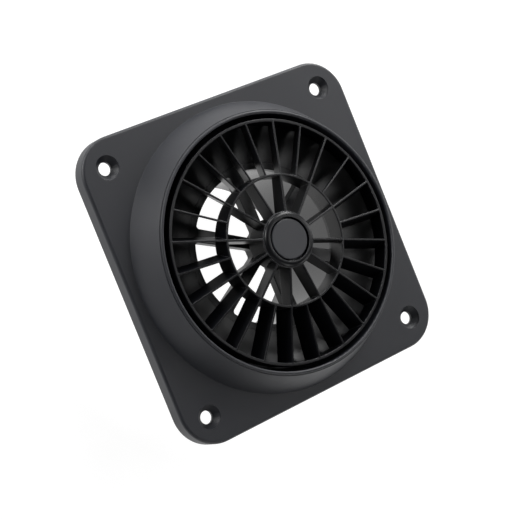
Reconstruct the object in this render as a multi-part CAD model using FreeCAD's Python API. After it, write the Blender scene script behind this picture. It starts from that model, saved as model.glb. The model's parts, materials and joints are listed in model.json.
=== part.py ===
import FreeCAD, Part
import math
import os

# A square-flanged ventilation fan. A wheel-shaped impeller turns in a raised round cowl on an
# external-rotor hub motor, which a six-arm bracket carries in the throat of a short rear duct.
# Millimetres. The fan axis is Z and the air side that people see is +Z. Heights below are given from a
# datum 10 mm behind the flange's front face. save() moves each part so that z = 0 is the plane where the
# rim of the square flange meets the panel that the fan is fastened to.

# Square flange
SIDE = 147.0
CORNER_RADIUS = 18.0
PANEL_Z = 1.8
FRONT_Z = 10.0
SKIRT_WALL = 2.5
FRONT_WALL = 2.6
FRONT_EDGE_ROUND = 1.4
LEDGE_WIDTH = 4.0
LEDGE_Z = 5.2
HOLE_SPACING = 120.0
HOLE_RADIUS = 3.1
HEAD_RADIUS = 5.6
HEAD_STRAIGHT = 0.7
BOSS_RADIUS = 7.2
BOSS_LOW_Z = 5.3
RIB = 1.6

# Raised cowl
BASE_RADIUS = 68.7
CREST_RADIUS = 61.1
CREST_Z = 26.2
BEAD_RADIUS = 61.0
BEAD_HEIGHT = 0.9
BEAD_ROUND = 0.7
LIP_RADIUS = 59.4
LIP_THICKNESS = 1.8
COWL_WALL = 2.2
BELL_TOP_Z = 20.0
POST_RADIUS = 2.1
POST_CIRCLE = 62.9
POST_LOW_Z = 13.2
POST_PILOT_TOP_Z = 17.6

# Bell mouth and its flange
MOUTH_RADIUS = 39.6
BELL_WALL = 2.0
BELL_FLANGE_Z = (11.0, 13.1)
BELL_FLANGE_RADII = (55.5, 64.7)
RECESS_RADIUS = 42.6
RECESS_Z = 8.4
SEAT_RADIUS = 46.0
SEAT_Z = 6.8

# Throat, bracket and rear duct
THROAT_RADIUS = 36.5
BRACKET_RING_LOW_Z = 6.9
BRACKET_LOW_Z = 4.8
BRACKET_FLANGE_RADIUS = 42.4
BRACKET_FLANGE_TOP_Z = 8.3
ARM_COUNT = 6
FIRST_ARM_ANGLE = 31.6
ARM_WIDTH_AT_HUB = 4.8
ARM_WIDTH_AT_THROAT = 6.4
WINDOW_CORNER = 1.6
BRACKET_HUB_RADIUS = 8.5
BRACKET_HUB_TOP_Z = 13.2
HUB_CUP_RADIUS = 7.3
HUB_FLOOR_Z = 7.4
DUCT_INNER_RADIUS = 37.5
DUCT_OUTER_RADIUS = 39.5
DUCT_LOW_Z = -45.0
DUCT_TOP_Z = 6.85
DUCT_RIM_Z = 5.0
SPIGOT_STOP_RADIUS = 41.0
SPIGOT_STOP_Z = 3.8
EAR_Z = (5.0, 6.7)
EAR_CIRCLE = 47.0
EAR_RADIUS = 3.6
BELL_BOSS_RADIUS = 3.0

# Self-tapping screws that hold the mouldings together
SCREW_COUNT = 6
SCREW_SHANK = 1.02
SCREW_PILOT = 1.05
SCREW_CLEARANCE = 1.4
SCREW_HEAD_RADIUS = 2.3
SCREW_HEAD = 1.6
DRIVE_RADIUS = 0.9

# Impeller
THIN_EDGE_ROUND = 0.3
VANE_COUNT = 24
FIRST_VANE_ANGLE = 10.2
VANE_THICKNESS = 0.95
VANE_SLOPE = 0.29
SPOKE_THICKNESS = 1.1
SPOKE_LOW_Z = 21.3
OUTER_RING = (55.5, 56.9)
OUTER_RING_Z = (16.8, 26.1)
INNER_RING_TOP = (29.65, 30.75)
INNER_RING_LOW = (29.7, 31.2)
INNER_RING_Z = (18.9, 29.4)
VANE_LOW_Z = (19.6, 16.8)
HUB_RADIUS = 12.05
RIM_RADIUS = 13.0
RIM_STEP = 0.3
RIM_Z = (30.2, 31.2)
HUB_LOW_Z = 16.0
HUB_TOP_Z = 32.7
CAP_WELL_RADIUS = 10.2
CAP_RADIUS = 9.4
CAP_TOP_Z = 32.4
HUB_WALL_Z = (27.95, 29.6)

# Hub motor
YOKE_RADII = (10.4, 11.1)
YOKE_Z = (16.6, 27.2, 27.9)
MAGNET_RADII = (8.75, 10.35)
MAGNET_Z = (16.9, 26.0)
SHAFT_RADIUS = 1.5
SHAFT_Z = (7.6, 29.2)
INSERT_RADIUS = 3.45
INSERT_FLANGE_RADIUS = 4.6
INSERT_Z = (25.4, 27.15, 29.55)
TUBE_BORE = 3.25
TUBE_RADIUS = 4.5
TUBE_FOOT_RADIUS = 5.2
TUBE_SHOULDER_Z = 17.35
TUBE_TOP_Z = 24.6
BUSH_BORE = 1.53
BUSH_RADIUS = 3.2
REAR_BUSH_Z = (9.2, 13.2)
FRONT_BUSH_Z = (20.3, 24.7)
CORE_Z = (18.2, 24.2)
CORE_BORE = 4.55
CORE_RING = 5.3
POLE_RADIUS = 8.35
POLE_COUNT = 4
POLE_SPAN = 76.0
SHOE_INNER = 7.3
NECK_WIDTH = 2.4
FRAME_THICKNESS = 0.8
FRAME_WIDTH = 3.0
COIL_RADII = (5.55, 6.85)
COIL_WIDTH = 4.8
COIL_HEIGHT = 0.9
BOARD_RADIUS = 8.9
BOARD_BORE = 5.35
BOARD_Z = (13.2, 14.2)
BOARD_SCREW_CIRCLE = 6.8
BOARD_SCREW_COUNT = 3
FIRST_BOARD_SCREW = FIRST_ARM_ANGLE
BOARD_POST_RADIUS = 1.45

# Lead to the solar panel
LEAD_ANGLE = FIRST_ARM_ANGLE + 300.0
WIRE_RADIUS = 0.6
WIRE_OFFSET = 0.72
WIRE_Z = 5.6
WIRE_START = 6.6
CHANNEL_HALF_WIDTH = 1.5
NOTCH_HALF_WIDTH = 2.1
NOTCH_Z = 4.3
CABLE_RADIUS = 1.9
CABLE_START = 46.4
CABLE_Z = 5.6
CABLE_BEND = 5.0
CABLE_CIRCLE = 55.0
CABLE_END_ANGLE = 270.0
CABLE_STRAIGHT = 6.5

ORIGIN = FreeCAD.Vector(0, 0, 0)
AXIS = FreeCAD.Vector(0, 0, 1)
CUT = 1.0  # how far a cutting solid runs past the material


def save(name, shape):
    shape.translate(FreeCAD.Vector(0, 0, -PANEL_Z))
    shape.exportStep(os.path.join("parts", name + ".step"))


def disc(radius, low, high, x=0.0, y=0.0):
    return Part.makeCylinder(radius, high - low, FreeCAD.Vector(x, y, low))


def tube(inner, outer, low, high):
    return disc(outer, low, high).cut(disc(inner, low - CUT, high + CUT))


def box(x_range, y_range, z_range):
    size = [high - low for low, high in (x_range, y_range, z_range)]
    return Part.makeBox(*size, FreeCAD.Vector(x_range[0], y_range[0], z_range[0]))


def turned(shape, degrees):
    copy = shape.copy()
    copy.rotate(ORIGIN, AXIS, degrees)
    return copy


def around(shape, count, first=0.0):
    return [turned(shape, first + 360.0 * i / count) for i in range(count)]


def joined(shapes):
    return shapes[0].fuse(shapes[1:]).removeSplitter()


def point(radius_and_z):
    return FreeCAD.Vector(radius_and_z[0], 0, radius_and_z[1])


def quarter(centre, start, end):
    """A quarter of an ellipse about centre, from start to end, for use as a step of lathe()."""
    middle = point(centre)
    longer, shorter = sorted((point(start), point(end)), key=lambda p: -(p - middle).Length)
    ellipse = Part.Ellipse(longer, shorter, middle)
    return start, end, Part.ArcOfEllipse(ellipse, 0, math.pi / 2).toShape()


def lathe(*steps):
    """Solid turned about Z. A step is an (r, z) corner, or a quarter() that joins its neighbours."""
    edges = []
    corners = [step if len(step) == 3 else (step, step, None) for step in steps]
    for current, following in zip(corners, corners[1:] + corners[:1]):
        if current[2]:
            edges.append(current[2])
        if point(current[1]).distanceToPoint(point(following[0])) > 1e-6:
            edges.append(Part.makeLine(point(current[1]), point(following[0])))
    return Part.Face(Part.Wire(edges)).revolve(ORIGIN, AXIS, 360)


def rounded_square(half, radius, low, high):
    block = box((-half, half), (-half, half), (low, high))
    upright = [e for e in block.Edges if abs(e.tangentAt(e.FirstParameter).z) > 0.5]
    return block.makeFillet(radius, upright)


def level_edges(shape):
    return [e for e in shape.Edges if e.BoundBox.ZMax - e.BoundBox.ZMin < 0.01]


def softened(shape, edges=None):
    """Rounds the given edges, or else all level ones, to the radius used on the fan's thin walls."""
    return shape.makeFillet(THIN_EDGE_ROUND, edges or level_edges(shape))


def pan_screw(head_low, tip_z):
    """Pan-head screw on the Z axis that points up, with its drive recess below."""
    head_top = head_low + SCREW_HEAD
    crown = quarter((SCREW_HEAD_RADIUS - 0.9, head_low + 0.9),
                    (SCREW_HEAD_RADIUS, head_low + 0.9),
                    (SCREW_HEAD_RADIUS - 0.9, head_low))
    head = lathe((0, head_top), (SCREW_HEAD_RADIUS, head_top), crown, (0, head_low))
    point_length = 1.2
    shank = disc(SCREW_SHANK, head_top, tip_z - point_length)
    tip = Part.makeCone(SCREW_SHANK, 0.3, point_length, FreeCAD.Vector(0, 0, tip_z - point_length))
    recess = [turned(box((-DRIVE_RADIUS, DRIVE_RADIUS), (-0.22, 0.22), (head_low - CUT, head_low + 0.8)), a)
              for a in (0, 90)]
    return joined([head, shank, tip]).cut(recess)


def countersink(x, y):
    """Cutting solid for one flange hole: short straight recess, 90 degree cone, through hole."""
    cone_top = FRONT_Z - HEAD_STRAIGHT
    cone_depth = HEAD_RADIUS - HOLE_RADIUS
    cone = Part.makeCone(HOLE_RADIUS, HEAD_RADIUS, cone_depth, FreeCAD.Vector(x, y, cone_top - cone_depth))
    recess = disc(HEAD_RADIUS, cone_top, FRONT_Z + CUT, x, y)
    return joined([disc(HOLE_RADIUS, -CUT, FRONT_Z, x, y), cone, recess])


def flange_tray():
    half = SIDE / 2
    block = rounded_square(half, CORNER_RADIUS, PANEL_Z, FRONT_Z)
    front_edges = [e for e in block.Edges if e.BoundBox.ZMin > FRONT_Z - 0.01]
    block = block.makeFillet(FRONT_EDGE_ROUND, front_edges)
    inside = half - SKIRT_WALL
    ledge = inside - LEDGE_WIDTH
    ceiling = FRONT_Z - FRONT_WALL
    hollow = rounded_square(inside, CORNER_RADIUS - SKIRT_WALL, -CUT, LEDGE_Z)
    upper_hollow = rounded_square(ledge, CORNER_RADIUS - SKIRT_WALL - LEDGE_WIDTH, 0, ceiling)
    opening = disc(BASE_RADIUS - COWL_WALL, -CUT, FRONT_Z + CUT)
    return block.cut([hollow, upper_hollow, opening])


def corner_stiffeners():
    """One corner's screw boss, with a rib to the cowl and a rib to each side of the skirt."""
    centre = HOLE_SPACING / 2
    inside = SIDE / 2 - SKIRT_WALL - 1.0
    ceiling = FRONT_Z - FRONT_WALL + 0.5
    boss = disc(BOSS_RADIUS, BOSS_LOW_Z, ceiling, centre, centre)
    diagonal = box((BASE_RADIUS - 1.0, centre * math.sqrt(2)), (-RIB / 2, RIB / 2), (BOSS_LOW_Z, ceiling))
    across = box((centre, inside), (centre - RIB / 2, centre + RIB / 2), (BOSS_LOW_Z, ceiling))
    along = box((centre - RIB / 2, centre + RIB / 2), (centre, inside), (BOSS_LOW_Z, ceiling))
    return joined([boss, turned(diagonal, 45), across, along])


def cowl_lean():
    return (BASE_RADIUS - CREST_RADIUS) / (CREST_Z - FRONT_Z)


def cowl_envelope():
    """Outside of the cowl: a conical flank, and a rounded bead round the opening a step above it."""
    low = FRONT_Z - FRONT_WALL
    flank_top = CREST_Z - BEAD_HEIGHT
    flank_end = CREST_RADIUS + BEAD_HEIGHT * cowl_lean()
    cone = lathe((LIP_RADIUS, low), (BASE_RADIUS, low), (BASE_RADIUS, FRONT_Z), (flank_end, flank_top),
                 (BEAD_RADIUS, flank_top), (BEAD_RADIUS, CREST_Z), (LIP_RADIUS, CREST_Z))
    return cone.makeFillet(BEAD_ROUND, [e for e in level_edges(cone) if e.BoundBox.ZMin > CREST_Z - 0.01])


def face_housing():
    """Tray, cowl, four screw bosses with ribs, and six posts for the bell mouth, in one moulding."""
    low = FRONT_Z - FRONT_WALL - CUT
    cavity_outer = BASE_RADIUS - COWL_WALL
    cavity_inner = LIP_RADIUS + LIP_THICKNESS
    cavity_top = FRONT_Z + (cavity_outer - cavity_inner) / cowl_lean()
    cavity = lathe((cavity_inner, low), (cavity_outer, low), (cavity_outer, FRONT_Z),
                   (cavity_inner, cavity_top))
    posts = around(disc(POST_RADIUS, POST_LOW_Z, cavity_top, POST_CIRCLE).common(cavity), SCREW_COUNT)
    corners = [turned(corner_stiffeners(), 90 * i) for i in range(4)]
    body = joined([flange_tray(), cowl_envelope().cut(cavity)] + corners + posts)
    bell_room = tube(LIP_RADIUS - CUT, cavity_inner, low, BELL_TOP_Z + 0.05)
    pilots = around(disc(SCREW_PILOT, POST_LOW_Z - CUT, POST_PILOT_TOP_Z, POST_CIRCLE), SCREW_COUNT)
    centre = HOLE_SPACING / 2
    holes = [countersink(x, y) for x in (-centre, centre) for y in (-centre, centre)]
    return body.cut([bell_room] + holes + pilots)


def bell_mouth():
    """Dished inlet that carries the cowl's inner wall down to the throat."""
    front = quarter((MOUTH_RADIUS, BELL_TOP_Z), (MOUTH_RADIUS, FRONT_Z), (LIP_RADIUS, BELL_TOP_Z))
    rim_radius = LIP_RADIUS + LIP_THICKNESS
    rear = quarter((MOUTH_RADIUS, BELL_TOP_Z), (rim_radius, BELL_TOP_Z), (MOUTH_RADIUS, FRONT_Z - BELL_WALL))
    dish = lathe(front, rear)
    flange = tube(*BELL_FLANGE_RADII, *BELL_FLANGE_Z)
    seat = tube(RECESS_RADIUS, SEAT_RADIUS, SEAT_Z, FRONT_Z - BELL_WALL + 0.6)
    boss_top = FRONT_Z - 0.2
    boss_low = EAR_Z[1] + 0.05
    bosses = around(disc(BELL_BOSS_RADIUS, boss_low, boss_top, EAR_CIRCLE), SCREW_COUNT, LEAD_ANGLE + 30)
    recess = tube(MOUTH_RADIUS - CUT, RECESS_RADIUS, SEAT_Z - CUT, RECESS_Z)
    pilots = around(disc(SCREW_PILOT, 0, boss_top - 0.4, EAR_CIRCLE), SCREW_COUNT, LEAD_ANGLE + 30)
    screw_holes = around(disc(SCREW_CLEARANCE, 0, BELL_TOP_Z, POST_CIRCLE), SCREW_COUNT)
    return joined([dish, flange, seat] + bosses).cut([recess] + pilots + screw_holes)


def housing_screws():
    screw = pan_screw(BELL_FLANGE_Z[0] - SCREW_HEAD, POST_PILOT_TOP_Z - 0.4)
    screw.translate(FreeCAD.Vector(POST_CIRCLE, 0, 0))
    return Part.makeCompound(around(screw, SCREW_COUNT))


def duct_screws():
    screw = pan_screw(EAR_Z[0] - SCREW_HEAD, EAR_Z[0] + 4.2)
    screw.translate(FreeCAD.Vector(EAR_CIRCLE, 0, 0))
    return Part.makeCompound(around(screw, SCREW_COUNT, LEAD_ANGLE + 30))


def bracket_windows():
    """The open areas between the arms, drawn small and grown so that their corners are round."""
    low = BRACKET_LOW_Z - CUT
    inner = BRACKET_HUB_RADIUS + WINDOW_CORNER
    outer = THROAT_RADIUS - WINDOW_CORNER
    centre = FreeCAD.Vector(0, 0, low)
    full, hub = [Part.Face(Part.Wire(Part.makeCircle(r, centre))) for r in (outer, inner)]
    at_hub = ARM_WIDTH_AT_HUB / 2 + WINDOW_CORNER
    at_throat = ARM_WIDTH_AT_THROAT / 2 + WINDOW_CORNER
    corners = [(0, -at_hub), (THROAT_RADIUS, -at_throat), (THROAT_RADIUS, at_throat), (0, at_hub)]
    arm = Part.Face(Part.makePolygon([FreeCAD.Vector(x, y, low) for x, y in corners + corners[:1]]))
    openings = full.cut([hub] + around(arm, ARM_COUNT, FIRST_ARM_ANGLE))
    height = FreeCAD.Vector(0, 0, FRONT_Z + CUT - low)
    return [face.makeOffset2D(WINDOW_CORNER).extrude(height) for face in openings.Faces]


def motor_bracket():
    """Arms and throat ring, with the cup for the wiring and the tube that carries stator and bushes."""
    plate = disc(THROAT_RADIUS + 1.0, BRACKET_LOW_Z, FRONT_Z).cut(bracket_windows())
    window_edges = [e for e in level_edges(plate) if e.BoundBox.ZMin > FRONT_Z - 0.01 and e.Length < 200]
    plate = softened(plate, window_edges)
    under_ring = tube(THROAT_RADIUS - 0.5, THROAT_RADIUS + 2.0, BRACKET_LOW_Z - CUT, BRACKET_RING_LOW_Z)
    ring = tube(THROAT_RADIUS, MOUTH_RADIUS - 0.1, BRACKET_RING_LOW_Z, FRONT_Z)
    flange = tube(THROAT_RADIUS, BRACKET_FLANGE_RADIUS, BRACKET_RING_LOW_Z, BRACKET_FLANGE_TOP_Z)
    hub = disc(BRACKET_HUB_RADIUS, BRACKET_LOW_Z, BRACKET_HUB_TOP_Z)
    cup = disc(HUB_CUP_RADIUS, HUB_FLOOR_Z, BRACKET_HUB_TOP_Z + CUT)
    shell = joined([plate.cut(under_ring), ring, flange, hub]).cut(cup)
    foot = disc(TUBE_FOOT_RADIUS, BRACKET_LOW_Z, TUBE_SHOULDER_Z)
    stem = disc(TUBE_RADIUS, BRACKET_LOW_Z, TUBE_TOP_Z)
    post = disc(BOARD_POST_RADIUS, HUB_FLOOR_Z - 0.2, BRACKET_HUB_TOP_Z, BOARD_SCREW_CIRCLE)
    body = joined([shell, foot, stem] + around(post, BOARD_SCREW_COUNT, FIRST_BOARD_SCREW))
    bore = disc(TUBE_BORE, BRACKET_LOW_Z - CUT, TUBE_TOP_Z + CUT)
    half = CHANNEL_HALF_WIDTH
    channel = box((WIRE_START - 0.9, THROAT_RADIUS), (-half, half),
                  (BRACKET_LOW_Z - CUT, BRACKET_RING_LOW_Z - 0.1))
    well = box((WIRE_START - 0.9, HUB_CUP_RADIUS), (-half, half), (BRACKET_LOW_Z, HUB_FLOOR_Z + CUT))
    pilot = disc(0.75, HUB_FLOOR_Z + 1.0, BRACKET_HUB_TOP_Z + CUT, BOARD_SCREW_CIRCLE)
    pilots = around(pilot, BOARD_SCREW_COUNT, FIRST_BOARD_SCREW)
    return body.cut([bore, turned(channel, LEAD_ANGLE), turned(well, LEAD_ANGLE)] + pilots)


def rear_duct():
    wall = tube(DUCT_INNER_RADIUS, DUCT_OUTER_RADIUS, DUCT_LOW_Z, DUCT_TOP_Z)
    end_edges = [e for e in wall.Edges if e.BoundBox.ZMax < DUCT_LOW_Z + 0.01]
    wall = wall.makeChamfer(0.6, end_edges)
    stop = tube(DUCT_INNER_RADIUS, SPIGOT_STOP_RADIUS, SPIGOT_STOP_Z, DUCT_TOP_Z)
    rim = tube(DUCT_INNER_RADIUS, BRACKET_FLANGE_RADIUS, DUCT_RIM_Z, DUCT_TOP_Z)
    arm = box((DUCT_OUTER_RADIUS, EAR_CIRCLE), (-EAR_RADIUS, EAR_RADIUS), EAR_Z)
    ear = joined([arm, disc(EAR_RADIUS, *EAR_Z, EAR_CIRCLE)])
    ears = around(ear, SCREW_COUNT, LEAD_ANGLE + 30)
    holes = around(disc(SCREW_CLEARANCE, 0, DUCT_TOP_Z, EAR_CIRCLE), SCREW_COUNT, LEAD_ANGLE + 30)
    notch = box((DUCT_INNER_RADIUS - CUT, BRACKET_FLANGE_RADIUS + CUT), (-NOTCH_HALF_WIDTH, NOTCH_HALF_WIDTH),
                (NOTCH_Z, DUCT_TOP_Z + CUT))
    return joined([wall, stop, rim] + ears).cut(holes + [turned(notch, LEAD_ANGLE)])


def weather_gasket():
    outer = SIDE / 2 - SKIRT_WALL - 0.1
    inner = outer - LEDGE_WIDTH + 0.3
    top = LEDGE_Z - 0.05
    foam = rounded_square(outer, CORNER_RADIUS - SKIRT_WALL - 0.1, PANEL_Z, top)
    return foam.cut(rounded_square(inner, CORNER_RADIUS - SKIRT_WALL - LEDGE_WIDTH + 0.2, -CUT, top + CUT))


def radial_edges(blade, radii):
    """The front and rear edges of a blade, which run all the way from one radius to the other."""
    return [e for e in blade.Edges if e.BoundBox.XLength > 0.9 * (radii[1] - radii[0])]


def vane():
    """One outer vane, whose face leans clockwise towards the rear as seen from the front."""
    radii = (sum(INNER_RING_TOP) / 2, sum(OUTER_RING) / 2)
    tops = (INNER_RING_Z[1], OUTER_RING_Z[1])
    front = [FreeCAD.Vector(r, 0, top) for r, top in zip(radii, tops)]
    rear = [FreeCAD.Vector(r, -VANE_SLOPE * (top - low), low) for r, top, low in zip(radii, tops, VANE_LOW_Z)]
    face = Part.Face(Part.makePolygon([front[0], front[1], rear[1], rear[0], front[0]]))
    face.translate(FreeCAD.Vector(0, -VANE_THICKNESS / 2, 0))
    blade = face.extrude(FreeCAD.Vector(0, VANE_THICKNESS, 0))
    return softened(blade, radial_edges(blade, radii))


def spoke():
    inner = HUB_RADIUS - 0.4
    outer = sum(INNER_RING_TOP) / 2
    corners = [(inner, SPOKE_LOW_Z), (outer, SPOKE_LOW_Z), (outer, INNER_RING_Z[1]), (inner, RIM_Z[1])]
    face = Part.Face(Part.makePolygon([point(c) for c in corners + corners[:1]]))
    face.translate(FreeCAD.Vector(0, -SPOKE_THICKNESS / 2, 0))
    blade = face.extrude(FreeCAD.Vector(0, SPOKE_THICKNESS, 0))
    return softened(blade, radial_edges(blade, (inner, outer)))


def impeller_hub():
    bevel_start = CAP_WELL_RADIUS + 0.55
    bevel_end = RIM_RADIUS - RIM_STEP
    bevel = quarter((bevel_start, RIM_Z[1]), (bevel_end, RIM_Z[1]), (bevel_start, HUB_TOP_Z))
    yoke_bore = YOKE_RADII[1] + 0.05
    insert_hole = INSERT_RADIUS + 0.05
    return lathe((yoke_bore, HUB_LOW_Z), (HUB_RADIUS, HUB_LOW_Z), (HUB_RADIUS, RIM_Z[0]),
                 (RIM_RADIUS, RIM_Z[0]), (RIM_RADIUS, RIM_Z[1]), bevel,
                 (CAP_WELL_RADIUS, HUB_TOP_Z), (CAP_WELL_RADIUS, HUB_WALL_Z[1]),
                 (insert_hole, HUB_WALL_Z[1]), (insert_hole, HUB_WALL_Z[0]), (yoke_bore, HUB_WALL_Z[0]))


def impeller():
    outer_ring = tube(*OUTER_RING, *OUTER_RING_Z)
    inner_ring = lathe((INNER_RING_LOW[0], INNER_RING_Z[0]), (INNER_RING_LOW[1], INNER_RING_Z[0]),
                       (INNER_RING_TOP[1], INNER_RING_Z[1]), (INNER_RING_TOP[0], INNER_RING_Z[1]))
    vanes = around(vane(), VANE_COUNT, FIRST_VANE_ANGLE)
    spokes = around(spoke(), VANE_COUNT // 2, FIRST_VANE_ANGLE)
    return joined([impeller_hub(), softened(inner_ring), softened(outer_ring)] + vanes + spokes)


def hub_cap():
    edge = 0.6
    bevel = quarter((CAP_RADIUS - edge, CAP_TOP_Z - edge), (CAP_RADIUS, CAP_TOP_Z - edge),
                    (CAP_RADIUS - edge, CAP_TOP_Z))
    return lathe((0, HUB_WALL_Z[1]), (CAP_RADIUS, HUB_WALL_Z[1]), bevel, (0, CAP_TOP_Z))


def rotor_yoke():
    low, closed_low, closed_top = YOKE_Z
    cup = disc(YOKE_RADII[1], low, closed_top).cut(disc(YOKE_RADII[0], low - CUT, closed_low))
    return cup.cut(disc(INSERT_RADIUS + 0.05, closed_low - CUT, closed_top + CUT))


def ring_magnet():
    return tube(*MAGNET_RADII, *MAGNET_Z)


def shaft():
    clip_groove = tube(1.15, SHAFT_RADIUS + CUT, 8.3, 8.9)
    body = disc(SHAFT_RADIUS, *SHAFT_Z)
    return body.makeChamfer(0.3, [e for e in body.Edges if e.Length < 10]).cut(clip_groove)


def shaft_insert():
    low, flange_top, top = INSERT_Z
    body = joined([disc(INSERT_FLANGE_RADIUS, low, flange_top), disc(INSERT_RADIUS, low, top)])
    return body.cut(disc(SHAFT_RADIUS, low - CUT, SHAFT_Z[1]))


def thrust_washer():
    return tube(SHAFT_RADIUS + 0.1, BUSH_RADIUS - 0.1, FRONT_BUSH_Z[1] + 0.1, INSERT_Z[0] - 0.05)


def retaining_clip():
    ring = tube(1.2, 2.6, 8.35, 8.85)
    return ring.cut(box((0, 3.0), (-0.7, 0.7), (8.0, 9.2)))


def bush(low, high):
    body = disc(BUSH_RADIUS, low, high)
    return body.makeChamfer(0.3, body.Edges).cut(disc(BUSH_BORE, low - CUT, high + CUT))


def bearing_cap():
    return disc(BUSH_RADIUS, BRACKET_LOW_Z, BRACKET_LOW_Z + 1.6)


def stator_core():
    ring = tube(CORE_BORE, CORE_RING, *CORE_Z)
    neck = box((CORE_RING - 0.4, SHOE_INNER + 0.3), (-NECK_WIDTH / 2, NECK_WIDTH / 2), CORE_Z)
    height = CORE_Z[1] - CORE_Z[0]
    base = FreeCAD.Vector(0, 0, CORE_Z[0])
    shoe = Part.makeCylinder(POLE_RADIUS, height, base, AXIS, POLE_SPAN).cut(disc(SHOE_INNER, 0, CREST_Z))
    pole = joined([neck, turned(shoe, -POLE_SPAN / 2)])
    return joined([ring] + around(pole, POLE_COUNT, 45))


def stator_insulator():
    """The two end frames that keep the coils off the core."""
    frames = []
    for low in (CORE_Z[0] - FRAME_THICKNESS, CORE_Z[1]):
        high = low + FRAME_THICKNESS
        ring = tube(CORE_BORE, CORE_RING + 0.2, low, high)
        arm = box((CORE_RING - 0.4, SHOE_INNER + 0.4), (-FRAME_WIDTH / 2, FRAME_WIDTH / 2), (low, high))
        frames.append(joined([ring] + around(arm, POLE_COUNT, 45)))
    return Part.makeCompound(frames)


def stator_windings():
    gap = 0.05
    low = CORE_Z[0] - FRAME_THICKNESS - gap
    high = CORE_Z[1] + FRAME_THICKNESS + gap
    half = COIL_WIDTH / 2
    coil = box(COIL_RADII, (-half, half), (low - COIL_HEIGHT, high + COIL_HEIGHT))
    long_edges = [e for e in coil.Edges if abs(e.tangentAt(e.FirstParameter).x) > 0.5]
    coil = coil.makeFillet(0.8, long_edges)
    window = box((0, SHOE_INNER), (-FRAME_WIDTH / 2 - gap, FRAME_WIDTH / 2 + gap), (low, high))
    return Part.makeCompound(around(coil.cut(window), POLE_COUNT, 45))


def driver_board():
    holes = around(disc(1.0, 0, CREST_Z, BOARD_SCREW_CIRCLE), BOARD_SCREW_COUNT, FIRST_BOARD_SCREW)
    return tube(BOARD_BORE, BOARD_RADIUS, *BOARD_Z).cut(holes)


def board_components():
    """Hall sensor, driver chip and smoothing capacitor on the stator side of the board."""
    top = BOARD_Z[1]
    sensor = turned(box((6.3, 7.9), (-1.3, 1.3), (top, top + 1.3)), FIRST_BOARD_SCREW + 60)
    chip = turned(box((5.6, 8.0), (-1.6, 1.6), (top, top + 1.1)), FIRST_BOARD_SCREW + 180)
    capacitor = turned(disc(1.1, top, top + 1.6, 7.1), FIRST_BOARD_SCREW + 300)
    return Part.makeCompound([sensor, chip, capacitor])


def board_screws():
    low = BOARD_Z[0] - 3.0
    shank = disc(0.72, low, BOARD_Z[1], BOARD_SCREW_CIRCLE)
    head = disc(1.4, BOARD_Z[1], BOARD_Z[1] + 0.9, BOARD_SCREW_CIRCLE)
    slot = box((BOARD_SCREW_CIRCLE - 1.0, BOARD_SCREW_CIRCLE + 1.0), (-0.18, 0.18),
               (BOARD_Z[1] + 0.5, BOARD_Z[1] + CUT))
    return Part.makeCompound(around(joined([shank, head]).cut(slot), BOARD_SCREW_COUNT, FIRST_BOARD_SCREW))


def swept(edges, radius):
    """Round bar along a path of edges, which starts at the first edge's first point."""
    path = Part.Wire(edges)
    first = edges[0]
    start = first.valueAt(first.FirstParameter)
    circle = Part.Wire(Part.makeCircle(radius, start, first.tangentAt(first.FirstParameter)))
    return path.makePipeShell([circle], True, True)


def wire(side):
    """From the board's underside, down into the channel of the lead's arm and out through the wall."""
    bend = 1.0
    y = side * WIRE_OFFSET
    top = FreeCAD.Vector(WIRE_START, y, BOARD_Z[0])
    corner_in = FreeCAD.Vector(WIRE_START, y, WIRE_Z + bend)
    lean = bend * (1 - math.sqrt(0.5))
    middle = FreeCAD.Vector(WIRE_START + lean, y, WIRE_Z + lean)
    corner_out = FreeCAD.Vector(WIRE_START + bend, y, WIRE_Z)
    end = FreeCAD.Vector(CABLE_START, y, WIRE_Z)
    edges = [Part.makeLine(top, corner_in), Part.Arc(corner_in, middle, corner_out).toShape(),
             Part.makeLine(corner_out, end)]
    return turned(swept(edges, WIRE_RADIUS), LEAD_ANGLE)


def wire_grommet():
    wall_gap = 0.05
    top = DUCT_TOP_Z - wall_gap
    body = box((DUCT_INNER_RADIUS - 0.2, BRACKET_FLANGE_RADIUS + 0.2),
               (-NOTCH_HALF_WIDTH + wall_gap, NOTCH_HALF_WIDTH - wall_gap), (NOTCH_Z + wall_gap, top))
    lip_half = NOTCH_HALF_WIDTH + 0.6
    inner_lip = box((DUCT_INNER_RADIUS - 0.8, DUCT_INNER_RADIUS - 0.15), (-lip_half, lip_half),
                    (NOTCH_Z - 0.5, top))
    outer_lip = box((BRACKET_FLANGE_RADIUS + 0.05, BRACKET_FLANGE_RADIUS + 0.9), (-lip_half, lip_half),
                    (NOTCH_Z - 0.5, SEAT_Z - wall_gap))
    body = joined([body, inner_lip, outer_lip])
    start = FreeCAD.Vector(DUCT_INNER_RADIUS - 2, 0, WIRE_Z)
    for side in (-1, 1):
        start.y = side * WIRE_OFFSET
        body = body.cut(Part.makeCylinder(WIRE_RADIUS + 0.02, 10.0, start, FreeCAD.Vector(1, 0, 0)))
    return turned(body, LEAD_ANGLE)


def arc(centre_x, centre_y, radius, first, last, z):
    """Arc about (centre_x, centre_y) from angle first to angle last, in degrees."""
    points = []
    for degrees in (first, (first + last) / 2, last):
        angle = math.radians(degrees)
        x = centre_x + radius * math.cos(angle)
        y = centre_y + radius * math.sin(angle)
        points.append(FreeCAD.Vector(x, y, z))
    return Part.Arc(*points).toShape()


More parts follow.
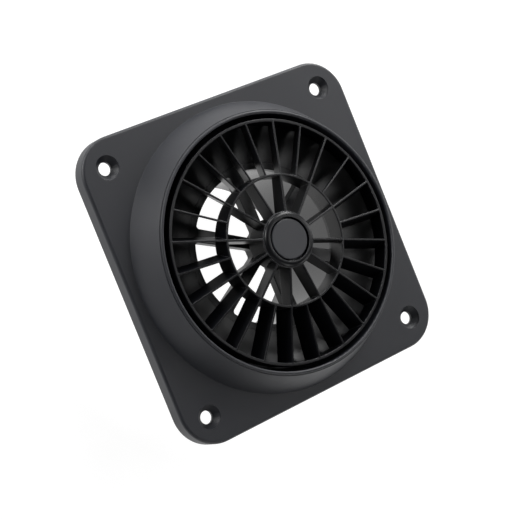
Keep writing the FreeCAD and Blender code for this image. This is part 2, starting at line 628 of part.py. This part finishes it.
def power_cable():
    """From the grommet out to the hollow behind the flange and round in it, clear of the spigot."""
    bend_x = math.sqrt((CABLE_CIRCLE - CABLE_BEND) ** 2 - CABLE_BEND ** 2)
    meeting = -math.degrees(math.asin(CABLE_BEND / (CABLE_CIRCLE - CABLE_BEND)))
    start = FreeCAD.Vector(CABLE_START, 0, CABLE_Z)
    out = Part.makeLine(start, FreeCAD.Vector(bend_x, 0, CABLE_Z))
    bend = arc(bend_x, -CABLE_BEND, CABLE_BEND, 90, meeting, CABLE_Z)
    run = arc(0, 0, CABLE_CIRCLE, meeting, CABLE_END_ANGLE - LEAD_ANGLE, CABLE_Z)
    end = run.valueAt(run.LastParameter)
    beyond = end + turned_vector(FreeCAD.Vector(0, -CABLE_STRAIGHT, 0), CABLE_END_ANGLE - LEAD_ANGLE)
    return turned(swept([out, bend, run, Part.makeLine(end, beyond)], CABLE_RADIUS), LEAD_ANGLE)


def turned_vector(vector, degrees):
    return FreeCAD.Rotation(AXIS, degrees).multVec(vector)


def on_cable_end(shape):
    """Puts a shape built along +X from the origin on the free end of the lead."""
    copy = shape.copy()
    copy.translate(FreeCAD.Vector(CABLE_STRAIGHT, CABLE_CIRCLE, CABLE_Z))
    return turned(copy, CABLE_END_ANGLE - 270 + 180)


def bar(radius, start, end):
    return Part.makeCylinder(radius, end - start, FreeCAD.Vector(start, 0, 0), FreeCAD.Vector(1, 0, 0))


def plug_parts():
    """Barrel connector at the end of the lead: grip, outer sleeve, insulator and centre contact."""
    grip_length = 17.0
    sleeve_length = 9.5
    boot = Part.makeCone(2.6, 3.4, 7.0, FreeCAD.Vector(-6.0, 0, 0), FreeCAD.Vector(1, 0, 0))
    grip = joined([boot, bar(3.7, 1.0, grip_length)])
    groove_floor = 3.35
    grooves = [bar(6.0, x, x + 0.8).cut(bar(groove_floor, x - CUT, x + 0.8 + CUT)) for x in (4, 6, 8, 10)]
    cable_hole = bar(CABLE_RADIUS + 0.02, -7.0, 0.0)
    recess = bar(2.8, grip_length - 6.0, grip_length + CUT)
    grip = grip.cut(grooves + [cable_hole, recess])
    tip = grip_length + sleeve_length
    root = grip_length - 6.0 + 0.05
    sleeve = bar(2.75, root, tip).cut(bar(2.45, root - CUT, tip + CUT))
    insulator = bar(2.4, root, tip - 0.4).cut(bar(1.35, root - CUT, tip + CUT))
    contact = bar(1.3, root + 1.0, tip - 1.0).cut(bar(1.05, root + 2.0, tip + CUT))
    return {"plug_grip": grip, "plug_sleeve": sleeve, "plug_insulator": insulator, "plug_contact": contact}


def main():
    os.makedirs("parts", exist_ok=True)
    save("face_housing", face_housing())
    save("bell_mouth", bell_mouth())
    save("motor_bracket", motor_bracket())
    save("rear_duct", rear_duct())
    save("housing_screws", housing_screws())
    save("duct_screws", duct_screws())
    save("weather_gasket", weather_gasket())
    save("impeller", impeller())
    save("hub_cap", hub_cap())
    save("rotor_yoke", rotor_yoke())
    save("ring_magnet", ring_magnet())
    save("shaft", shaft())
    save("shaft_insert", shaft_insert())
    save("thrust_washer", thrust_washer())
    save("retaining_clip", retaining_clip())
    save("front_bush", bush(*FRONT_BUSH_Z))
    save("rear_bush", bush(*REAR_BUSH_Z))
    save("bearing_cap", bearing_cap())
    save("stator_core", stator_core())
    save("stator_insulator", stator_insulator())
    save("stator_windings", stator_windings())
    save("driver_board", driver_board())
    save("board_components", board_components())
    save("board_screws", board_screws())
    save("red_wire", wire(1))
    save("black_wire", wire(-1))
    save("wire_grommet", wire_grommet())
    save("power_cable", power_cable())
    for name, shape in plug_parts().items():
        save(name, on_cable_end(shape))


main()
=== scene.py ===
import json
import math

import bmesh
import bpy
from mathutils import Euler, Matrix, Vector, noise as solid_noise


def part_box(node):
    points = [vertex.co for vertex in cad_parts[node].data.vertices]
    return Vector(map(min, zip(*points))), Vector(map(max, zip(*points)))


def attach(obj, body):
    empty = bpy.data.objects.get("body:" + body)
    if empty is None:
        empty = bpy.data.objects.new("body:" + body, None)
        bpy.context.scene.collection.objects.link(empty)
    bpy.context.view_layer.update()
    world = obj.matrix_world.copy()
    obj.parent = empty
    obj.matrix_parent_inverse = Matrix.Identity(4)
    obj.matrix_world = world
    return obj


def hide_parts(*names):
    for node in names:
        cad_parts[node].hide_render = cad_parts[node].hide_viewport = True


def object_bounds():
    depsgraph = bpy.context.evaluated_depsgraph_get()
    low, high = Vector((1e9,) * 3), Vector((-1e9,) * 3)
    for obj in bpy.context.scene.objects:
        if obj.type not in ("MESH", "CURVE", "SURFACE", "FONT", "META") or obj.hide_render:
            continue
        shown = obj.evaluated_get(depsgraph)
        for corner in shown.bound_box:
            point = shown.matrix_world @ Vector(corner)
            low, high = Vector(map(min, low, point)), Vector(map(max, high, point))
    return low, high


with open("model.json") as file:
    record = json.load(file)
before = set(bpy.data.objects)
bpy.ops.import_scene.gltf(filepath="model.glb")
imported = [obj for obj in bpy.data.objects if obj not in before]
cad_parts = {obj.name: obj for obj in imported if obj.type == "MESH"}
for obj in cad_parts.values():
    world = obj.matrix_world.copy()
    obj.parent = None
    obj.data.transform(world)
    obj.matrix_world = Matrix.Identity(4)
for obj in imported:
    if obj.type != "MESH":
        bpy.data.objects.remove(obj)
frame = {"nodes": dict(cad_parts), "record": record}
CAD_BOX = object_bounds()
MM = 0.001

# Camera
CAMERA_PLACE_MM = (-337.8, 35.6, 594.3)
CAMERA_TURN_DEG = (8.918, -28.460, -25.166)
CAMERA_LENS_MM = 100.86
SENSOR_MM = 36.0

# Light, in metres: round soft boxes on a dome about the fan, as (name, turn, height, watts) in degrees
DOME_RADIUS = 1.2
SOFT_BOX_SIZE = 0.5
SOFT_BOXES = [
    ("low_upper_right", 45, 12, 9.3),
    ("low_top", 90, 12, 6.8),
    ("low_upper_left", 135, 12, 8.6),
    ("low_lower_left", 225, 12, 0.8),
    ("low_bottom", 270, 12, 1.6),
    ("low_lower_right", 315, 12, 1.8),
    ("low_right", 0, 12, 2.2),
    ("middle_upper_right", 45, 38, 6.3),
    ("middle_right", 0, 38, 1.9),
    ("middle_upper_left", 135, 38, 1.6),
    ("middle_bottom", 270, 38, 1.5),
    ("high_right", 0, 65, 1.4),
]
SKY_STRENGTH = 0.09

# Floor, in metres: its glow is stronger within the inner radius, below the duct
FLOOR_GLOW = 0.84
GLOW_UNDER_FAN = 1.0
GLOW_RADII_MM = (60.0, 110.0)
FLOOR_GAP = 0.0005
FLOOR_HALF = 4.0
FLOOR_PATCH_MM = 60.0
FLOOR_TONES = (0.24, 0.27)
FLOOR_ROUGHNESS = 0.9

# Soft pieces built here in place of CAD solids, in millimetres
LEAD_ANGLE = 331.6
GASKET_WIDTH = 3.7
GASKET_CORNER = 15.4
GASKET_EDGE_ROUND = 0.7
GASKET_CORNER_STEPS = 20
GASKET_SIDE_STEPS = 80
CABLE_RADIUS = 1.9
CABLE_START = 46.4
CABLE_BEND = 5.0
CABLE_CIRCLE = 55.0
CABLE_STRAIGHT = 6.5
CABLE_END_ANGLE = 270.0
WIRE_RADIUS = 0.6
WIRE_OFFSET = 0.72
WIRE_START = 6.6
WIRE_BEND = 1.0
CABLE_WAVE = 0.02
CABLE_WAVE_STEP = 1.7
BOOT_RADII = (2.6, 3.4)
BOOT_LENGTH = 7.0
BOOT_GROOVES = (1.6, 3.2, 4.8)
BOOT_GROOVE_SIZE = (0.8, 0.5)
BOOT_EDGE = 0.3
GRIP_RADIUS = 3.7
GRIP_GROOVES = (3.0, 5.0, 7.0, 9.0)
GRIP_GROOVE_SIZE = (1.0, 0.35)
PLUG_GRIP_LENGTH = 23.0
PLUG_EDGE_ROUND = 0.5
RECESS_RADIUS = 2.8
RECESS_DEPTH = 6.0
RECESS_CHAMFER = 0.2
SHOULDER_STEP = 0.1
FOAM_CELL_MM = 1.1
FOAM_DEPTH_MM = 0.25
GROOVE_STEPS = 6
PLUG_SIDES = 64
SHARP_DEGREES = 40.0

# Surface finish: sizes of grain, spread of tone and gloss, and what counts as an edge
NOISE_RANGE = (0.3, 0.7)
EDGE_RANGE = (0.80, 0.99)
EDGE_SAMPLES = 6
PATCH_MM = 22.0
SPECK_MM = 1.3
DARK_SHARE = 0.86
GLOSS_SPREAD = (-0.05, 0.06)
METAL_EDGE_MM = 0.12
METAL_PATCH_MM = 3.0
METAL_GRAIN_MM = 0.25
METAL_GRAIN_DEPTH_MM = 0.01
METAL_DARK_SHARE = 0.8
METAL_GLOSS_SPREAD = 0.12
BRUSH_STRETCH = (1, 1, 0.04)

# Sockets of a Mix node that are used when it mixes colours
MIX_FACTOR = 0
MIX_COLOURS = (6, 7)
MIX_RESULT = 2


def new_material(name):
    """A node material that has a Principled shader and an object-space coordinate to build on."""
    material = bpy.data.materials.new(name)
    material.use_nodes = True
    nodes = material.node_tree.nodes
    shader = nodes["Principled BSDF"]
    place = nodes.new("ShaderNodeTexCoord").outputs["Object"]
    return material, shader, place


def node(material, kind, **values):
    """Adds a node. A key that names an input sets it or links it, and any other key is a property."""
    made = material.node_tree.nodes.new(kind)
    for key, value in values.items():
        name = key.replace("_", " ")
        if name in made.inputs:
            set_input(material, made.inputs[name], value)
        else:
            setattr(made, key, value)
    return made


def set_input(material, socket, value):
    if isinstance(value, bpy.types.NodeSocket):
        material.node_tree.links.new(value, socket)
    else:
        socket.default_value = value


def noise(material, place, grain_mm, detail=3.0, rough=0.6):
    return node(material, "ShaderNodeTexNoise", Vector=place, Scale=1.0 / (grain_mm * MM), Detail=detail,
                Roughness=rough).outputs["Fac"]


def mapped(material, value, low, high, from_low=NOISE_RANGE[0], from_high=NOISE_RANGE[1]):
    ranged = node(material, "ShaderNodeMapRange", Value=value)
    ranged.inputs["From Min"].default_value = from_low
    ranged.inputs["From Max"].default_value = from_high
    ranged.inputs["To Min"].default_value = low
    ranged.inputs["To Max"].default_value = high
    return ranged.outputs["Result"]


def mixed(material, amount, first, second):
    mix = material.node_tree.nodes.new("ShaderNodeMix")
    mix.data_type = "RGBA"
    set_input(material, mix.inputs[MIX_FACTOR], amount)
    set_input(material, mix.inputs[MIX_COLOURS[0]], first)
    set_input(material, mix.inputs[MIX_COLOURS[1]], second)
    return mix.outputs[MIX_RESULT]


def edge_mask(material, radius_mm):
    """Near 1 on convex and concave edges and 0 on open faces, from rounded against true normals."""
    bevel = node(material, "ShaderNodeBevel", samples=EDGE_SAMPLES, Radius=radius_mm * MM)
    rounded = bevel.outputs["Normal"]
    true_normal = material.node_tree.nodes.new("ShaderNodeNewGeometry").outputs["Normal"]
    dot = node(material, "ShaderNodeVectorMath", operation="DOT_PRODUCT")
    set_input(material, dot.inputs[0], rounded)
    set_input(material, dot.inputs[1], true_normal)
    return mapped(material, dot.outputs["Value"], 1.0, 0.0, *EDGE_RANGE), rounded


def moulded(name, colour, wear_and_highlight_colour, roughness, grain_mm=0.45, grain_depth_mm=0.02, edge_mm=0.25, wear_and_highlight=0.5,
            shine=0.5):
    """Moulded plastic: fine grain, slow variation of tone and gloss, rounder edges, and edge colour that
    is part wear, part painted highlight.
    """
    material, shader, place = new_material(name)
    edge, rounded = edge_mask(material, edge_mm)
    patches = noise(material, place, PATCH_MM, 4.0)
    specks = noise(material, place, SPECK_MM, 2.0)
    darker = [c * DARK_SHARE for c in colour]
    tone = mixed(material, mapped(material, patches, 0.0, 1.0), darker + [1], colour + [1])
    # Edges are lightened towards the edge colour: partly wear, partly a painted highlight for the light
    # that rounded edges catch.
    scuff_and_highlight = node(material, "ShaderNodeMath", operation="MULTIPLY")
    set_input(material, scuff_and_highlight.inputs[0], edge)
    set_input(material, scuff_and_highlight.inputs[1], mapped(material, specks, wear_and_highlight * 0.5, wear_and_highlight))
    tone = mixed(material, scuff_and_highlight.outputs[0], tone, wear_and_highlight_colour + [1])
    set_input(material, shader.inputs["Base Color"], tone)
    shader.inputs["Specular IOR Level"].default_value = shine
    gloss = mapped(material, patches, roughness + GLOSS_SPREAD[0], roughness + GLOSS_SPREAD[1])
    set_input(material, shader.inputs["Roughness"], gloss)
    grain = noise(material, place, grain_mm, 2.0, 0.7)
    bump = node(material, "ShaderNodeBump", Height=grain, Distance=grain_depth_mm * MM, Strength=1.0,
                Normal=rounded)
    set_input(material, shader.inputs["Normal"], bump.outputs["Normal"])
    return material


def metal(name, colour, roughness, brushed=False):
    """Bare metal with uneven gloss. A brushed one has its grain drawn out along the fan's axis."""
    material, shader, place = new_material(name)
    _, rounded = edge_mask(material, METAL_EDGE_MM)
    patches = noise(material, place, METAL_PATCH_MM, 4.0)
    darker = [c * METAL_DARK_SHARE for c in colour]
    tone = mixed(material, mapped(material, patches, 0.0, 1.0), darker + [1], colour + [1])
    set_input(material, shader.inputs["Base Color"], tone)
    shader.inputs["Metallic"].default_value = 1.0
    gloss = mapped(material, patches, roughness, roughness + METAL_GLOSS_SPREAD)
    set_input(material, shader.inputs["Roughness"], gloss)
    if brushed:
        stretch = node(material, "ShaderNodeVectorMath", operation="MULTIPLY")
        set_input(material, stretch.inputs[0], place)
        stretch.inputs[1].default_value = BRUSH_STRETCH
        place = stretch.outputs["Vector"]
    grain = noise(material, place, METAL_GRAIN_MM, 3.0)
    depth = METAL_GRAIN_DEPTH_MM * MM
    bump = node(material, "ShaderNodeBump", Height=grain, Distance=depth, Normal=rounded)
    set_input(material, shader.inputs["Normal"], bump.outputs["Normal"])
    return material


SATIN_BLACK = [0.0082, 0.0092, 0.0135]
GLOSSY_BLACK = [0.0042, 0.0046, 0.0062]
DEEP_BLACK = [0.0024, 0.0026, 0.0036]
# The next two greys lighten edges: partly wear, partly a painted highlight for the light that rounded
# edges catch. The first, on the wheel, is mostly painted highlight and reaches across the narrow front
# faces of its vanes and rings.
HIGHLIGHT_AND_RUB_GREY = [0.125, 0.127, 0.135]
EDGE_WEAR_AND_HIGHLIGHT_GREY = [0.030, 0.031, 0.035]
MATERIALS = {
    "black_shell": lambda n: moulded(n, SATIN_BLACK, EDGE_WEAR_AND_HIGHLIGHT_GREY, 0.5),
    "black_bracket": lambda n: moulded(n, GLOSSY_BLACK, EDGE_WEAR_AND_HIGHLIGHT_GREY, 0.36, edge_mm=0.15),
    # The wheel gets the full edge lightening, mostly painted highlight.
    "black_wheel": lambda n: moulded(n, DEEP_BLACK, HIGHLIGHT_AND_RUB_GREY, 0.32, edge_mm=0.32, wear_and_highlight=1.0,
                                     shine=0.25),
    "black_cap": lambda n: moulded(n, SATIN_BLACK, EDGE_WEAR_AND_HIGHLIGHT_GREY, 0.42, edge_mm=0.2),
    "black_inner": lambda n: moulded(n, GLOSSY_BLACK, EDGE_WEAR_AND_HIGHLIGHT_GREY, 0.36, edge_mm=0.15),
    "black_duct": lambda n: moulded(n, GLOSSY_BLACK, EDGE_WEAR_AND_HIGHLIGHT_GREY, 0.19, grain_depth_mm=0.003, edge_mm=0.15,
                                   shine=0.7),
    "screw_steel": lambda n: metal(n, [0.55, 0.56, 0.57], 0.3),
    "foam": lambda n: moulded(n, [0.03, 0.03, 0.03], [0.05, 0.05, 0.05], 0.9, 0.8, 0.15),
    "yoke_steel": lambda n: metal(n, [0.5, 0.5, 0.52], 0.3),
    "magnet": lambda n: moulded(n, [0.06, 0.055, 0.055], [0.1, 0.1, 0.1], 0.6),
    "shaft_steel": lambda n: metal(n, [0.65, 0.65, 0.65], 0.18, True),
    "brass": lambda n: metal(n, [0.75, 0.58, 0.28], 0.25),
    "white_nylon": lambda n: moulded(n, [0.75, 0.74, 0.69], [0.8, 0.8, 0.78], 0.45),
    "clip_steel": lambda n: metal(n, [0.3, 0.3, 0.32], 0.35),
    "sintered_bronze": lambda n: metal(n, [0.55, 0.38, 0.22], 0.5),
    "core_steel": lambda n: metal(n, [0.35, 0.36, 0.38], 0.4, True),
    "copper_wire": lambda n: metal(n, [0.62, 0.28, 0.12], 0.3),
    "green_board": lambda n: moulded(n, [0.03, 0.16, 0.07], [0.1, 0.25, 0.12], 0.35),
    "black_epoxy": lambda n: moulded(n, [0.03, 0.03, 0.03], [0.1, 0.1, 0.1], 0.5),
    "red_pvc": lambda n: moulded(n, [0.45, 0.02, 0.015], [0.5, 0.05, 0.04], 0.35),
    "black_pvc": lambda n: moulded(n, [0.022, 0.022, 0.024], [0.06, 0.06, 0.06], 0.45),
    "black_rubber": lambda n: moulded(n, [0.02, 0.02, 0.02], [0.05, 0.05, 0.05], 0.75),
    "plated_contact": lambda n: metal(n, [0.66, 0.65, 0.6], 0.22),
}

OTHER_FINISH = {"bell_mouth": "black_inner", "rear_duct": "black_duct"}


def paint_cad_nodes():
    made = {name: maker(name) for name, maker in MATERIALS.items()}
    slots = {part["node"]: part["material_slot"] for part in frame["record"]["subparts"]}
    slots.update(OTHER_FINISH)
    for name, shown in frame["nodes"].items():
        shown.data.materials.clear()
        shown.data.materials.append(made[slots[name]])
    return made


def lead_place(x, y, z):
    """Metres in the shared frame, from millimetres with x along the bracket arm that carries the lead."""
    return Matrix.Rotation(math.radians(LEAD_ANGLE), 3, "Z") @ Vector((x * MM, y * MM, z))


def arc_points(centre_x, centre_y, radius, first, last, count):
    """(x, y) points along an arc, from angle first to angle last in degrees."""
    angles = [math.radians(first + (last - first) * i / (count - 1)) for i in range(count)]
    return [(centre_x + radius * math.cos(a), centre_y + radius * math.sin(a)) for a in angles]


def line_points(start, end, count):
    return [tuple(a + (b - a) * i / (count - 1) for a, b in zip(start, end)) for i in range(count)]


def swept_mesh(name, path, section, closed=False):
    """A skin along path. section(i) gives the outline there as (across, up) pairs in millimetres."""
    count = len(path)
    bm = bmesh.new()
    rings = []
    up = None
    for i, place in enumerate(path):
        before = path[i - 1] if closed or i > 0 else place
        after = path[(i + 1) % count] if closed or i < count - 1 else place
        along = (after - before).normalized()
        if up is None:
            up = Vector((0, 0, 1)) if abs(along.z) < 0.9 else Vector((1, 0, 0))
        up = (up - along * up.dot(along)).normalized()
        across = along.cross(up)
        rings.append([bm.verts.new(place + across * (x * MM) + up * (y * MM)) for x, y in section(i)])
    for i in range(count if closed else count - 1):
        ring, following = rings[i], rings[(i + 1) % count]
        for j in range(len(ring)):
            k = (j + 1) % len(ring)
            bm.faces.new((ring[j], ring[k], following[k], following[j]))
    if not closed:
        bm.faces.new(rings[0])
        bm.faces.new(rings[-1])
    return finished(name, bm)


def finished(name, bm):
    """Mesh from bm, smooth but for its sharp edges. This frees bm."""
    bmesh.ops.recalc_face_normals(bm, faces=bm.faces)
    mesh = bpy.data.meshes.new(name)
    bm.to_mesh(mesh)
    bm.free()
    mesh.shade_smooth()
    mesh.set_sharp_from_angle(angle=math.radians(SHARP_DEGREES))
    return mesh


def round_section(radius, sides=24):
    angles = [2 * math.pi * j / sides for j in range(sides)]
    return [(radius * math.cos(a), radius * math.sin(a)) for a in angles]


def cushion_section(width, height, edge, steps=4):
    """A rectangle with rounded corners, centred on the path."""
    outline = []
    for i, (sx, sy) in enumerate(((1, 1), (-1, 1), (-1, -1), (1, -1))):
        corner = (sx * (width / 2 - edge), sy * (height / 2 - edge))
        outline += arc_points(*corner, edge, 90 * i, 90 * i + 90, steps)
    return outline


def show(mesh, material, replaced):
    """Puts a piece made here in the scene, in place of a CAD node of the housing."""
    piece = bpy.data.objects.new(mesh.name, mesh)
    bpy.context.scene.collection.objects.link(piece)
    mesh.materials.append(material)
    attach(piece, "housing")
    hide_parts(replaced)


def foam_strip(material):
    """Weather gasket: cut foam with soft edges and an open-cell surface."""
    low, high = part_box("weather_gasket")
    height = (high.z - low.z) / MM
    half = high.x / MM - GASKET_WIDTH / 2
    corner = GASKET_CORNER - GASKET_WIDTH / 2
    middle_z = (low.z + high.z) / 2
    track = []
    for i, (sx, sy) in enumerate(((1, 1), (-1, 1), (-1, -1), (1, -1))):
        track += arc_points(sx * (half - corner), sy * (half - corner), corner, 90 * i, 90 * i + 90,
                            GASKET_CORNER_STEPS)
        x, y = track[-1]
        turn = math.radians(90 * i + 90)
        straight = 2 * (half - corner)
        end = (x - straight * math.sin(turn), y + straight * math.cos(turn))
        track += line_points((x, y), end, GASKET_SIDE_STEPS)[1:-1]
    path = [Vector((x * MM, y * MM, middle_z)) for x, y in track]
    section = cushion_section(GASKET_WIDTH, height, GASKET_EDGE_ROUND)
    mesh = swept_mesh("gasket_foam", path, lambda i: section, closed=True)
    for vertex in mesh.vertices:
        cell = solid_noise.noise(vertex.co / (FOAM_CELL_MM * MM))
        pull = Vector((vertex.co.x, vertex.co.y, 0)).normalized()
        vertex.co -= pull * (FOAM_DEPTH_MM * MM * max(0.0, cell))
    show(mesh, material, "weather_gasket")


def cable_track():
    """Centre line of the lead: out of the grommet, round a bend, along the cowl's hollow to the plug."""
    bend_x = math.sqrt((CABLE_CIRCLE - CABLE_BEND) ** 2 - CABLE_BEND ** 2)
    meeting = -math.degrees(math.asin(CABLE_BEND / (CABLE_CIRCLE - CABLE_BEND)))
    last = CABLE_END_ANGLE - LEAD_ANGLE
    track = line_points((CABLE_START, 0), (bend_x, 0), 4)
    track += arc_points(bend_x, -CABLE_BEND, CABLE_BEND, 90, meeting, 16)[1:]
    track += arc_points(0, 0, CABLE_CIRCLE, meeting, last, 60)[1:]
    turn = math.radians(last)
    x, y = track[-1]
    end = (x + CABLE_STRAIGHT * math.sin(turn), y - CABLE_STRAIGHT * math.cos(turn))
    return track + line_points((x, y), end, 8)[1:]


def cable_jacket(material):
    """Sheathed lead, a little uneven along its length as an extruded sheath is."""
    low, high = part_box("power_cable")
    z = (low.z + high.z) / 2
    path = [lead_place(x, y, z) for x, y in cable_track()]

    def section(i):
        wave = 1 - CABLE_WAVE * (0.5 + 0.5 * math.sin(i * CABLE_WAVE_STEP))
        return round_section(CABLE_RADIUS * wave)

    show(swept_mesh("cable_jacket", path, section), material, "power_cable")


def wire_jacket(name, node_name, side, material):
    """Insulated wire that drops from the board, bends, and runs along the arm to the lead."""
    low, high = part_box(node_name)
    z = low.z + WIRE_RADIUS * MM
    y = side * WIRE_OFFSET
    path = [lead_place(WIRE_START, y, high.z + (z + WIRE_BEND * MM - high.z) * i / 5) for i in range(6)]
    for x, drop in arc_points(WIRE_START + WIRE_BEND, WIRE_BEND, WIRE_BEND, 180, 270, 10)[1:]:
        path.append(lead_place(x, y, z + drop * MM))
    straight = line_points((WIRE_START + WIRE_BEND, 0), (CABLE_START, 0), 30)
    path += [lead_place(x, y, z) for x, _ in straight[1:]]
    show(swept_mesh(name, path, lambda i: round_section(WIRE_RADIUS, 16)), material, node_name)


def groove(start, width, depth, radius):
    """Profile steps of a round-bottomed groove, as (distance along the plug, radius)."""
    steps = []
    for i in range(GROOVE_STEPS + 1):
        share = i / GROOVE_STEPS
        steps.append((start + width * share, radius - depth * math.sin(math.pi * share)))
    return steps


def plug_profile():
    """Soft grip of the plug: ribbed boot, ringed grip with rounded ends, and the recess of the sleeve."""
    profile = [(0.0, 0.0), (0.0, BOOT_RADII[0] - BOOT_EDGE), (BOOT_EDGE, BOOT_RADII[0])]
    for start in BOOT_GROOVES:
        radius = BOOT_RADII[0] + (BOOT_RADII[1] - BOOT_RADII[0]) * start / BOOT_LENGTH
        profile += groove(start, *BOOT_GROOVE_SIZE, radius)
    edge = PLUG_EDGE_ROUND
    profile += [(BOOT_LENGTH - SHOULDER_STEP, BOOT_RADII[1]), (BOOT_LENGTH, GRIP_RADIUS - edge)]
    profile += arc_points(BOOT_LENGTH + edge, GRIP_RADIUS - edge, edge, 180, 90, 5)
    for start in GRIP_GROOVES:
        profile += groove(BOOT_LENGTH + start, *GRIP_GROOVE_SIZE, GRIP_RADIUS)
    profile += arc_points(PLUG_GRIP_LENGTH - edge, GRIP_RADIUS - edge, edge, 90, 0, 5)
    bottom = PLUG_GRIP_LENGTH - RECESS_DEPTH
    mouth = PLUG_GRIP_LENGTH - RECESS_CHAMFER
    profile += [(PLUG_GRIP_LENGTH, RECESS_RADIUS + RECESS_CHAMFER), (mouth, RECESS_RADIUS)]
    return profile + [(bottom, RECESS_RADIUS), (bottom, 0.0)]


def plug_grip(material):
    """The profile turned about the plug's axis, which runs along -X from the box's high end."""
    low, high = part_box("plug_grip")
    start = Vector((high.x, (low.y + high.y) / 2, (low.z + high.z) / 2))
    bm = bmesh.new()
    rings = []
    for distance, radius in plug_profile():
        centre = start - Vector((distance * MM, 0, 0))
        if radius == 0.0:
            rings.append([bm.verts.new(centre)])
            continue
        outline = [Vector((0, y * MM, z * MM)) for y, z in round_section(radius, PLUG_SIDES)]
        rings.append([bm.verts.new(centre + offset) for offset in outline])
    for ring, following in zip(rings, rings[1:]):
        for j in range(PLUG_SIDES):
            k = (j + 1) % PLUG_SIDES
            corners = [ring[j % len(ring)], ring[k % len(ring)]]
            corners += [following[k % len(following)], following[j % len(following)]]
            bm.faces.new(list(dict.fromkeys(corners)))
    show(finished("plug_grip_soft", bm), material, "plug_grip")


def soft_box(name, turn, height, watts):
    """A round area light on the dome that faces the fan."""
    light = bpy.data.lights.new(name, "AREA")
    light.shape = "DISK"
    light.size = SOFT_BOX_SIZE
    light.energy = watts
    holder = bpy.data.objects.new(name, light)
    bpy.context.scene.collection.objects.link(holder)
    turn, height = math.radians(turn), math.radians(height)
    level = math.cos(height)
    direction = Vector((level * math.cos(turn), level * math.sin(turn), math.sin(height)))
    holder.location = DOME_RADIUS * direction
    holder.rotation_euler = (-direction).to_track_quat("-Z", "Y").to_euler()


def sky():
    world = bpy.data.worlds.new("studio")
    world.use_nodes = True
    background = world.node_tree.nodes["Background"]
    background.inputs["Color"].default_value = (1, 1, 1, 1)
    background.inputs["Strength"].default_value = SKY_STRENGTH
    bpy.context.scene.world = world


def floor_material():
    """Pale surface with some glow of its own, clear from behind so that the part shows from below."""
    material, shader, place = new_material("floor_white")
    patches = noise(material, place, FLOOR_PATCH_MM)
    low_tone, high_tone = [[tone, tone, tone, 1] for tone in FLOOR_TONES]
    tone = mixed(material, mapped(material, patches, 0.0, 1.0), low_tone, high_tone)
    set_input(material, shader.inputs["Base Color"], tone)
    shader.inputs["Roughness"].default_value = FLOOR_ROUGHNESS
    shader.inputs["Emission Color"].default_value = (1, 1, 1, 1)
    distance = node(material, "ShaderNodeVectorMath", operation="LENGTH")
    set_input(material, distance.inputs[0], place)
    inner, outer = [radius * MM for radius in GLOW_RADII_MM]
    reach = mapped(material, distance.outputs["Value"], GLOW_UNDER_FAN, FLOOR_GLOW, inner, outer)
    set_input(material, shader.inputs["Emission Strength"], reach)
    links = material.node_tree.links
    behind = material.node_tree.nodes.new("ShaderNodeNewGeometry").outputs["Backfacing"]
    clear = material.node_tree.nodes.new("ShaderNodeBsdfTransparent")
    choice = material.node_tree.nodes.new("ShaderNodeMixShader")
    output = material.node_tree.nodes["Material Output"]
    links.new(behind, choice.inputs[0])
    links.new(shader.outputs[0], choice.inputs[1])
    links.new(clear.outputs[0], choice.inputs[2])
    links.new(choice.outputs[0], output.inputs["Surface"])
    return material


def floor():
    mesh = bpy.data.meshes.new("floor")
    half = FLOOR_HALF
    height = CAD_BOX[0].z - FLOOR_GAP
    corners = [(-half, -half, height), (half, -half, height), (half, half, height), (-half, half, height)]
    mesh.from_pydata(corners, [], [(0, 1, 2, 3)])
    mesh.materials.append(floor_material())
    plane = bpy.data.objects.new("floor", mesh)
    bpy.context.scene.collection.objects.link(plane)


def camera():
    data = bpy.data.cameras.new("camera")
    data.sensor_width = SENSOR_MM
    data.lens = CAMERA_LENS_MM
    data.clip_start = 0.01
    holder = bpy.data.objects.new("camera", data)
    holder.location = Vector(CAMERA_PLACE_MM) * MM
    holder.rotation_euler = Euler([math.radians(a) for a in CAMERA_TURN_DEG])
    bpy.context.scene.collection.objects.link(holder)
    bpy.context.scene.camera = holder


finish = paint_cad_nodes()
foam_strip(finish["foam"])
cable_jacket(finish["black_pvc"])
wire_jacket("wire_jacket_red", "red_wire", 1, finish["red_pvc"])
wire_jacket("wire_jacket_black", "black_wire", -1, finish["black_pvc"])
plug_grip(finish["black_pvc"])
sky()
floor()
for soft_box_values in SOFT_BOXES:
    soft_box(*soft_box_values)
camera()
bpy.context.scene.view_settings.view_transform = "Standard"
